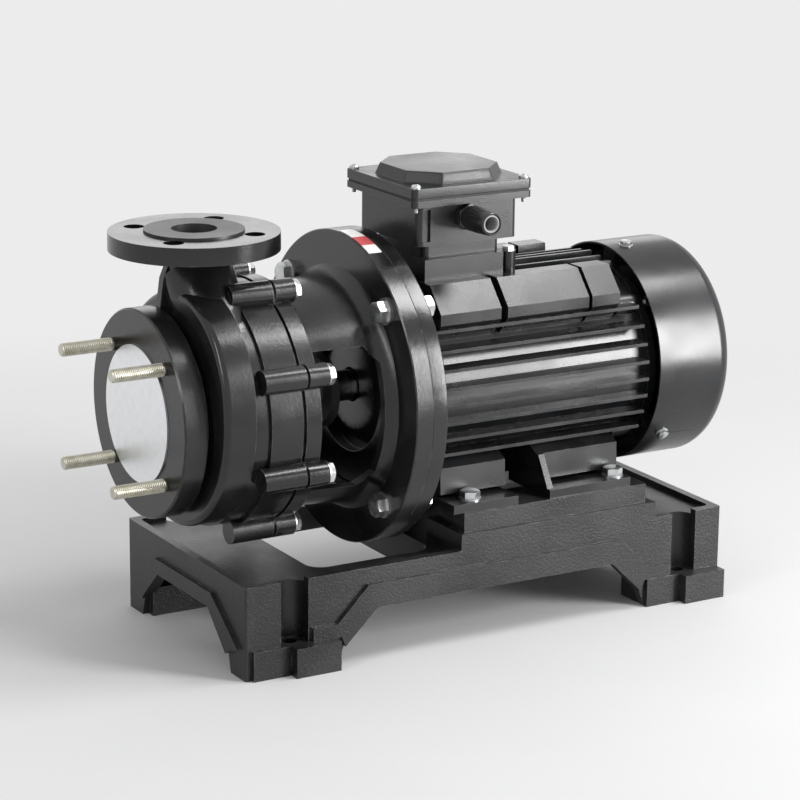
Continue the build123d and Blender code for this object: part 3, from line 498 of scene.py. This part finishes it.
edge_radius = {
    "volute_casing": 0.0012, "lantern": 0.0012, "baseplate": 0.0018, "motor_flange": 0.0008,
    "motor_frame": 0.0008, "rear_shield": 0.0008, "terminal_box": 0.001, "box_lid": 0.001,
    "fan_cowl": 0.0005, "casing_lining": 0.0006,
}
for name, radius in edge_radius.items():
    ease_edges(nodes[name], radius)
print("eased", len(edge_radius), "solids")

# %% [markdown]
# Small hardware is nearly all turned, so one lathe makes most of it: a list of corners, each a
# height and a radius, spun about the local Z axis. Hexagons use the same rings with a radius that
# changes round the ring, and a thread is a grid of rows whose radius rises and falls along a helix.

# %% Lathe and ring helpers


def join_rings(mesh, low, high):
    """Faces between two rings of vertices, either of which may be a single centre point."""
    steps = max(len(low), len(high))
    for k in range(steps):
        after = (k + 1) % steps
        if len(low) == 1:
            mesh.faces.new((low[0], high[after], high[k]))
        elif len(high) == 1:
            mesh.faces.new((low[k], low[after], high[0]))
        else:
            mesh.faces.new((low[k], low[after], high[after], high[k]))


def ring_of(mesh, height, radius, around):
    """Ring at a height; the radius is a number, or a function of the angle."""
    if not callable(radius) and radius < 1e-6:
        return [mesh.verts.new((0, 0, height))]
    found = []
    for k in range(around):
        angle = 2 * pi * k / around
        r = radius(angle) if callable(radius) else radius
        h = height(angle) if callable(height) else height
        found.append(mesh.verts.new((r * cos(angle), r * sin(angle), h)))
    return found


def lathe(corners, around=48, closed=False):
    mesh = bmesh.new()
    rings = [ring_of(mesh, height, radius, around) for height, radius in corners]
    for low, high in zip(rings, rings[1:]):
        join_rings(mesh, low, high)
    if closed:
        join_rings(mesh, rings[-1], rings[0])
    bmesh.ops.recalc_face_normals(mesh, faces=mesh.faces)
    return mesh


def hex_radius(flats):
    return lambda angle: flats / 2 / cos((angle + pi / 6) % (pi / 3) - pi / 6)


def hex_prism(flats, bottom, top, bore=0.0, chamfers="both"):
    """Hexagon with the curved corner chamfer of a real nut, solid or with a round bore."""
    outline = hex_radius(flats)
    crown = flats * 0.485
    fall = 0.55

    def rise(level, sign):
        return lambda angle: level - sign * (outline(angle) - crown) * fall

    corners = [(bottom, bore), (bottom, crown), (rise(bottom, -1), outline)]
    if chamfers == "top":
        corners = [(bottom, bore), (bottom, outline)]
    corners += [(rise(top, 1), outline), (top, crown), (top, bore)]
    return lathe(corners, 48, closed=bore > 0)


def threaded_bar(length, radius, pitch, around=32, point=0.001):
    """Bar with a raised helical thread and a pointed end at each side."""
    mesh = bmesh.new()
    rows = int(length / pitch * 4)
    depth = 0.58 * pitch
    rings = []
    for row in range(rows + 1):
        height = length * row / rows
        ends = min(height, length - height)
        limit = radius - depth * max(0.0, 1 - ends / point)

        def thread(angle, height=height, limit=limit):
            turn = (height / pitch - angle / (2 * pi)) % 1.0
            crest = min(1.0, max(0.0, 1.6 * (1 - abs(2 * turn - 1)) - 0.15))
            return min(limit, radius - depth * (1 - crest))

        rings.append(ring_of(mesh, height, thread, around))
    first = mesh.verts.new((0, 0, 0))
    last = mesh.verts.new((0, 0, length))
    join_rings(mesh, [first], rings[0])
    for low, high in zip(rings, rings[1:]):
        join_rings(mesh, low, high)
    join_rings(mesh, rings[-1], [last])
    bmesh.ops.recalc_face_normals(mesh, faces=mesh.faces)
    return mesh


print("lathe, hexagon and thread helpers ready")

# %% [markdown]
# Casing and bracket meet in a joint that runs round the flange and out over each boss, and on the
# real pump it is an open groove that reads as a black line. A ring with the wavy outline of the
# joint is cut out of both castings. The cut comes before the bevel, so the groove's edges are
# eased like all others. The ring itself stays hidden.

# %% Groove at the joint of the casing

joint_place, groove_width, groove_depth = 0.106, 0.0024, 0.0032
joint_flange, boss_circle, boss_outside = 0.1095, 0.114, 0.011


def joint_outline(angle):
    """Distance of the outer edge of the joint from the shaft, at an angle from the Y axis."""
    edge = joint_flange
    for boss in range(8):
        turn = angle - radians(22.5 + 45 * boss)
        off_line = boss_circle * sin(turn)
        if cos(turn) > 0 and abs(off_line) < boss_outside:
            edge = max(edge, boss_circle * cos(turn) + sqrt(boss_outside ** 2 - off_line ** 2))
    return edge


def groove_floor(angle):
    return joint_outline(angle) - groove_depth


joint_start, joint_end = joint_place - groove_width / 2, joint_place + groove_width / 2
groove_ring = lathe([
    (joint_start, groove_floor), (joint_start, 0.14), (joint_end, 0.14), (joint_end, groove_floor),
], 720, closed=True)
ring_mesh = bpy.data.meshes.new("joint_groove")
groove_ring.to_mesh(ring_mesh)
groove_ring.free()
to_shaft = Matrix(((0, 0, 1, suction_x), (1, 0, 0, 0), (0, 1, 0, shaft_height), (0, 0, 0, 1)))
ring_mesh.transform(to_shaft)
joint_groove = bpy.data.objects.new("joint_groove", ring_mesh)
bpy.context.scene.collection.objects.link(joint_groove)
joint_groove.hide_render = True
joint_groove.hide_viewport = True
for name in ("volute_casing", "lantern"):
    cut = nodes[name].modifiers.new("joint groove", "BOOLEAN")
    cut.object = joint_groove
    cut.operation = "DIFFERENCE"
    cut.solver = "EXACT"
    nodes[name].modifiers.move(len(nodes[name].modifiers) - 1, 1)
print("groove at", joint_place, "m from the suction face,", groove_width, "m wide")

# %% [markdown]
# Fasteners come in sets, so one mesh is copied to every place of its set and the set is one
# object, as the solids are. A place is a matrix: its local Z is the direction of the fastener.

# %% Places for a set of fasteners


def spots_round_shaft(distance, circle, count, start, facing=1):
    """Matrices on a circle round the shaft; local X points outward, local Z along the shaft."""
    found = []
    for k in range(count):
        angle = radians(start) + 2 * pi * k / count
        outward = Vector((0, cos(angle), sin(angle)))
        along = Vector((facing, 0, 0))
        turned = Matrix((outward, along.cross(outward), along)).transposed().to_4x4()
        middle = Vector((suction_x + distance, 0, shaft_height)) + outward * circle
        found.append(Matrix.Translation(middle) @ turned)
    return found


def upright_spots(points, height):
    return [Matrix.Translation((suction_x + distance, side, height)) for distance, side in points]


def make_set(name, finish, parts, stands_for, smooth_angle=32):
    """One object from (mesh, list of matrices) pairs, in place of a solid."""
    whole = bpy.data.meshes.new(name)
    collected = bmesh.new()
    for mesh, spots in parts:
        single = bpy.data.meshes.new("single")
        mesh.to_mesh(single)
        mesh.free()
        for spot in spots:
            copy = single.copy()
            copy.transform(spot)
            collected.from_mesh(copy)
            bpy.data.meshes.remove(copy)
        bpy.data.meshes.remove(single)
    collected.to_mesh(whole)
    collected.free()
    whole.shade_smooth()
    whole.set_sharp_from_angle(angle=radians(smooth_angle))
    whole.materials.append(finishes[finish])
    made = bpy.data.objects.new(name, whole)
    bpy.context.scene.collection.objects.link(made)
    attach(made, "pump")
    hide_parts(stands_for)
    print(f"{name}: {sum(len(s) for _, s in parts)} pieces, {len(whole.polygons)} faces")
    return made


# %% [markdown]
# Four threaded M12 studs stand 49 mm out of the suction flange, ready for the pipe. They are
# yellow zinc. A bump could draw their threads, but the thread shows in the outline and catches the
# light, so the helix is real geometry with a pitch of 1.75 mm. A plain pin is screwed in behind.

# %% Suction studs

stud_reach, stud_radius, stud_pitch, stud_circle = 0.049, 0.006, 0.00175, 0.0725
pin_start, pin_end, pin_radius = 0.0485, 0.067, 0.0053
tapped_pin = lathe([
    (pin_start, 0.0), (pin_start, pin_radius), (pin_end - 0.001, pin_radius),
    (pin_end, pin_radius - 0.0008), (pin_end, 0.0),
])
stud_spots = spots_round_shaft(-stud_reach, stud_circle, 4, 45)
make_set("suction_stud_threads", "yellow_zinc", [
    (threaded_bar(stud_reach, stud_radius, stud_pitch, point=0.0014), stud_spots),
    (tapped_pin, stud_spots),
], "suction_studs")

# %% [markdown]
# Each casing stud ends in a bright cap nut with a low dome. The bracket plate is bolted to the
# motor by four hexagon bolts with thick washers; behind the motor flange sit the nuts.

# %% Nuts and bolts round the casing and the adapter

cap = lathe([
    (0.0, 0.0), (0.0, 0.0079), (0.0045, 0.0079), (0.0059, 0.0072), (0.0071, 0.0056),
    (0.0078, 0.003), (0.008, 0.0),
], 40)
cap_spots = spots_round_shaft(0.1286, boss_circle, 8, 22.5)
make_set("cap_nuts", "bright_nuts", [
    (hex_prism(0.0165, 0.0, 0.0052), cap_spots), (cap, cap_spots),
], "casing_cap_nuts")

adapter_circle = 0.124
bolt_spots = spots_round_shaft(0.195, adapter_circle, 4, 45, facing=-1)
shank_spots = spots_round_shaft(0.194, adapter_circle, 4, 45)
make_set("adapter_bolt_set", "zinc_steel", [
    (hex_prism(0.018, 0.0, 0.009, chamfers="top"), bolt_spots),
    (threaded_bar(0.0505, stud_radius, stud_pitch), shank_spots),
], "adapter_bolts")
nut_spots = spots_round_shaft(0.2315, adapter_circle, 4, 45)
make_set("adapter_nut_set", "zinc_steel", [
    (hex_prism(0.018, 0.0, 0.01, bore=0.006), nut_spots),
], "adapter_nuts")

# %% [markdown]
# The motor feet are held by four hexagon bolts. The lid of the terminal box has four pan screws
# with a cross recess, and the fan cowl three hexagon screws with a flange under the head. The cowl
# screws point to the shaft, so each gets a matrix whose local Z looks outward.

# %% Bolts of the feet, the lid and the cowl

foot_points = [(distance, side) for distance in (0.28, 0.434) for side in (-0.098, 0.098)]
make_set("foot_bolts", "zinc_steel", [
    (hex_prism(0.016, 0.0, 0.0064, chamfers="top"), upright_spots(foot_points, 0.128)),
    (threaded_bar(0.03, 0.005, 0.0015), upright_spots(foot_points, 0.0985)),
], "motor_foot_bolts")

lid_low, lid_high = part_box("lid_screws")
head_radius, head_height = 0.0045, 0.0035
lid_corners = [(x - suction_x, y) for x in (lid_low.x + head_radius, lid_high.x - head_radius)
               for y in (lid_low.y + head_radius, lid_high.y - head_radius)]


def pan_screw(radius, height, slot):
    """Domed screw head. Points of its crown that lie near the cross are pushed down."""
    mesh = lathe([
        (0.0, 0.0), (0.0, radius), (height * 0.45, radius), (height * 0.8, radius * 0.8),
        (height * 0.97, radius * 0.5), (height, radius * 0.25), (height, 0.0),
    ], 48)
    for vertex in mesh.verts:
        flat = min(abs(vertex.co.x), abs(vertex.co.y))
        if vertex.co.z > height * 0.9 and flat < slot:
            vertex.co.z -= height * 0.35
    return mesh


make_set("lid_pan_screws", "zinc_steel", [
    (pan_screw(head_radius, head_height, 0.0005),
     upright_spots(lid_corners, lid_high.z - head_height)),
    (threaded_bar(0.0235, 0.002, 0.0007, around=16), upright_spots(lid_corners, lid_low.z)),
], "lid_screws")

cowl_screw_place, cowl_screw_circle = 0.5, 0.0915
cowl_spots = []
for k in range(3):
    angle = radians(98 + 120 * k)
    outward = Vector((0, cos(angle), sin(angle)))
    along = Vector((1, 0, 0))
    turned = Matrix((along, outward.cross(along), outward)).transposed().to_4x4()
    middle = Vector((suction_x + cowl_screw_place, 0, shaft_height)) + outward * cowl_screw_circle
    cowl_spots.append(Matrix.Translation(middle) @ turned)
make_set("cowl_hex_screws", "zinc_steel", [
    (hex_prism(0.01, 0.0127, 0.016, chamfers="top"), cowl_spots),
    (lathe([
        (0.012, 0.0), (0.012, 0.0066), (0.0125, 0.0066), (0.013, 0.0052), (0.013, 0.0),
    ], 32), cowl_spots),
    (threaded_bar(0.0125, 0.0025, 0.0008, around=16), cowl_spots),
], "cowl_screws")

# %% [markdown]
# The window of the bracket shows the shaft seal. Its bellows is white fluoroplastic with five
# soft folds, drawn as a cosine of the way along. The bellows turns with the shaft.

# %% Seal bellows

folds = 5
fold_pitch = 0.0042
steps = 8 * folds
bellows_line = [(0.0, 0.0175)]
for step in range(steps + 1):
    along = step / steps * folds
    bellows_line.append((along * fold_pitch, 0.0225 + 0.0025 * cos(2 * pi * along)))
bellows_line.append((folds * fold_pitch, 0.0175))
bellows_mesh = bpy.data.meshes.new("bellows_folds")
turned_bellows = lathe(bellows_line, 64, closed=True)
turned_bellows.to_mesh(bellows_mesh)
turned_bellows.free()
bellows_mesh.transform(Matrix.Translation((0.131, 0, 0)) @ to_shaft)
bellows_mesh.shade_smooth()
bellows_mesh.set_sharp_from_angle(angle=radians(50))
bellows_mesh.materials.append(finishes["white_fluoroplastic"])
bellows = bpy.data.objects.new("bellows_folds", bellows_mesh)
bpy.context.scene.collection.objects.link(bellows)
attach(bellows, "rotor")
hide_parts("seal_bellows")
print("bellows:", len(bellows_mesh.polygons), "faces")

# %% [markdown]
# The cable gland is black plastic: a hexagon that screws into the box, and a nut with fine grip
# ribs that ends in a rounded mouth. There is no cable in it, so the rubber seal shows at the mouth,
# and its pale grey is partly the rubber's own colour and partly a painted highlight for the bright
# ring there. All of it is turned, and the ribs are a radius that ripples round the lathe's rings.

# %% Cable gland

gland_distance, gland_height = 0.3, 0.374
gland_spot = (Matrix.Translation((suction_x + gland_distance, 0, gland_height))
              @ Matrix.Rotation(radians(90), 4, "X"))


def plain_tube(start, end, bore, outside):
    return lathe([(start, bore), (start, outside), (end, outside), (end, bore)], 48, closed=True)


def ribbed(radius):
    return lambda angle: radius - 0.0006 * (0.5 + 0.5 * cos(20 * angle)) ** 3


gland_nut_line = [
    (0.062, 0.0095), (0.062, 0.0106), (0.063, ribbed(0.0115)), (0.077, ribbed(0.0115)),
    (0.0785, 0.0112), (0.087, 0.0108), (0.0925, 0.0106), (0.0943, 0.0101), (0.095, 0.0093),
    (0.0947, 0.0088), (0.0935, 0.0086), (0.0905, 0.0085), (0.075, 0.0085), (0.075, 0.0095),
]
make_set("gland_dome_nut", "gland_plastic", [
    (lathe(gland_nut_line, 160, closed=True), [gland_spot]),
], "gland_nut")
make_set("gland_hex_body", "gland_plastic", [
    (hex_prism(0.022, 0.052, 0.06, bore=0.0072), [gland_spot]),
    (plain_tube(0.046, 0.0525, 0.0071, 0.009), [gland_spot]),
    (plain_tube(0.0595, 0.0748, 0.0071, 0.0094), [gland_spot]),
], "gland_body")

seal_start, seal_bore = -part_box("gland_seal")[1].y, 0.0061
# The seal ring fills the gland's mouth; its pale grey is partly a painted highlight there.
make_set("gland_seal_ring", "seal_rubber", [
    (lathe([
        (seal_start, seal_bore), (seal_start, 0.0084), (0.0925, 0.0084), (0.0942, 0.0079),
        (0.0944, 0.0071), (0.0936, 0.0063), (0.092, seal_bore),
    ], 64, closed=True), [gland_spot]),
], "gland_seal")

# %% [markdown]
# The camera stands to the front left of the suction port, a little above the discharge flange. Its
# place and lens come from the lines of the object in the photograph.

# %% Camera

camera_data = bpy.data.cameras.new("camera")
camera_data.lens, camera_data.sensor_width = 132.46, 36
camera_data.clip_start, camera_data.clip_end = 0.1, 30
camera = bpy.data.objects.new("camera", camera_data)
bpy.context.scene.collection.objects.link(camera)
bpy.context.scene.camera = camera
azimuth, elevation, roll = radians(-30.6), radians(15.09), radians(0.58)
back = Vector((sin(azimuth) * cos(elevation), -cos(azimuth) * cos(elevation), sin(elevation)))
right = Vector((cos(azimuth), sin(azimuth), 0))
up = back.cross(right)
rolled_right = right * cos(roll) + up * sin(roll)
rolled_up = up * cos(roll) - right * sin(roll)
target, viewing_distance = Vector((-0.03381, 0, 0.19653)), 2.68991
stand = target + back * viewing_distance
camera.matrix_world = Matrix((
    (rolled_right.x, rolled_up.x, back.x, stand.x),
    (rolled_right.y, rolled_up.y, back.y, stand.y),
    (rolled_right.z, rolled_up.z, back.z, stand.z),
    (0, 0, 0, 1),
))
print("camera at", [round(v, 3) for v in stand])

# %% [markdown]
# The studio is a plain pale floor in a plain pale surround. A large floor would need its lamps far
# out, so this one thins into the surround about a metre away, and only the soft shadow round the
# pump is left of it. The surround is a little stronger to the camera and to reflections than as
# light, so that the background is pale without more light on the pump.

# %% Floor and surround

floor_mesh = bpy.data.meshes.new("floor")
reach = 4.0
floor_mesh.from_pydata(
    [(-reach, -reach, 0), (reach, -reach, 0), (reach, reach, 0), (-reach, reach, 0)],
    [], [(0, 1, 2, 3)],
)
floor = bpy.data.objects.new("floor", floor_mesh)
bpy.context.scene.collection.objects.link(floor)
floor_paint, tree, place, shader = start_material("floor_paint")
mottle = wire(tree, "ShaderNodeTexNoise", {"Vector": place, "Scale": 6.0, "Detail": 3.0})
tree.links.new(
    mix_colour(tree, mottle.outputs["Fac"], (0.54, 0.54, 0.545), (0.57, 0.57, 0.57)),
    shader.inputs["Base Color"],
)
shader.inputs["Roughness"].default_value = 0.75
thins_from, thins_to = 0.4, 1.15
away = wire(tree, "ShaderNodeVectorMath", {0: place}, operation="LENGTH").outputs["Value"]
clear = wire(tree, "ShaderNodeBsdfTransparent")
fading = wire(tree, "ShaderNodeMixShader", {
    0: ramp_value(tree, away, thins_from, thins_to, 0, 1),
    1: shader.outputs["BSDF"], 2: clear.outputs["BSDF"],
})
out = next(node for node in tree.nodes if node.type == "OUTPUT_MATERIAL")
tree.links.new(fading.outputs["Shader"], out.inputs["Surface"])
floor_mesh.materials.append(floor_paint)

world = bpy.data.worlds.new("studio")
bpy.context.scene.world = world
world.use_nodes = True
tree = world.node_tree
tree.nodes.clear()
rays = wire(tree, "ShaderNodeLightPath")
seen = wire(tree, "ShaderNodeMath", {
    0: rays.outputs["Is Camera Ray"], 1: rays.outputs["Is Glossy Ray"],
}, operation="MAXIMUM")
seen = wire(tree, "ShaderNodeMath",
            {0: seen.outputs["Value"], 1: rays.outputs["Is Transmission Ray"]}, operation="MAXIMUM")
as_light, as_background = 0.7, 0.84
strength = ramp_value(tree, seen.outputs["Value"], 0, 1, as_light, as_background)
glow = wire(tree, "ShaderNodeBackground", {"Color": (1, 1, 1, 1), "Strength": strength})
wire(tree, "ShaderNodeOutputWorld", {"Surface": glow.outputs["Background"]})
print("floor", 2 * reach, "m wide")

# %% [markdown]
# Black enamel shows its form by what it mirrors, so the lamps are large and soft and stand where
# the main surfaces mirror them: a tall one to the right front for the fan cowl and the plate rims,
# one overhead for the slanting pads of the motor, one behind for the flats that face up, and one
# on the left that shapes the round castings. Point lamps would leave hard white dots instead.

# %% Lamps


def soft_lamp(name, where, aim, size, watts):
    light = bpy.data.lights.new(name, "AREA")
    light.shape = "RECTANGLE"
    light.size, light.size_y = size
    light.energy = watts
    lamp = bpy.data.objects.new(name, light)
    bpy.context.scene.collection.objects.link(lamp)
    lamp.location = where
    lamp.rotation_mode = "QUATERNION"
    lamp.rotation_quaternion = (Vector(aim) - Vector(where)).to_track_quat("-Z", "Y")
    return lamp


middle_of_pump = (0, 0, 0.2)
soft_lamp("right_front", (1.5, -1.9, 0.75), middle_of_pump, (0.65, 1.5), 92)
soft_lamp("overhead", (0.9, -0.45, 1.75), middle_of_pump, (0.7, 0.5), 17)
soft_lamp("behind", (1.0, 2.0, 0.9), middle_of_pump, (1.6, 0.7), 3.5)
soft_lamp("left", (-1.9, -0.6, 1.2), middle_of_pump, (0.35, 1.2), 9)

# %% [markdown]
# Colours are shown as they are, without a film look. Threads, nuts and rounded edges mustn't make
# the pump any larger than its solids.

# %% Plain colour management
bpy.context.scene.view_settings.view_transform = "Standard"
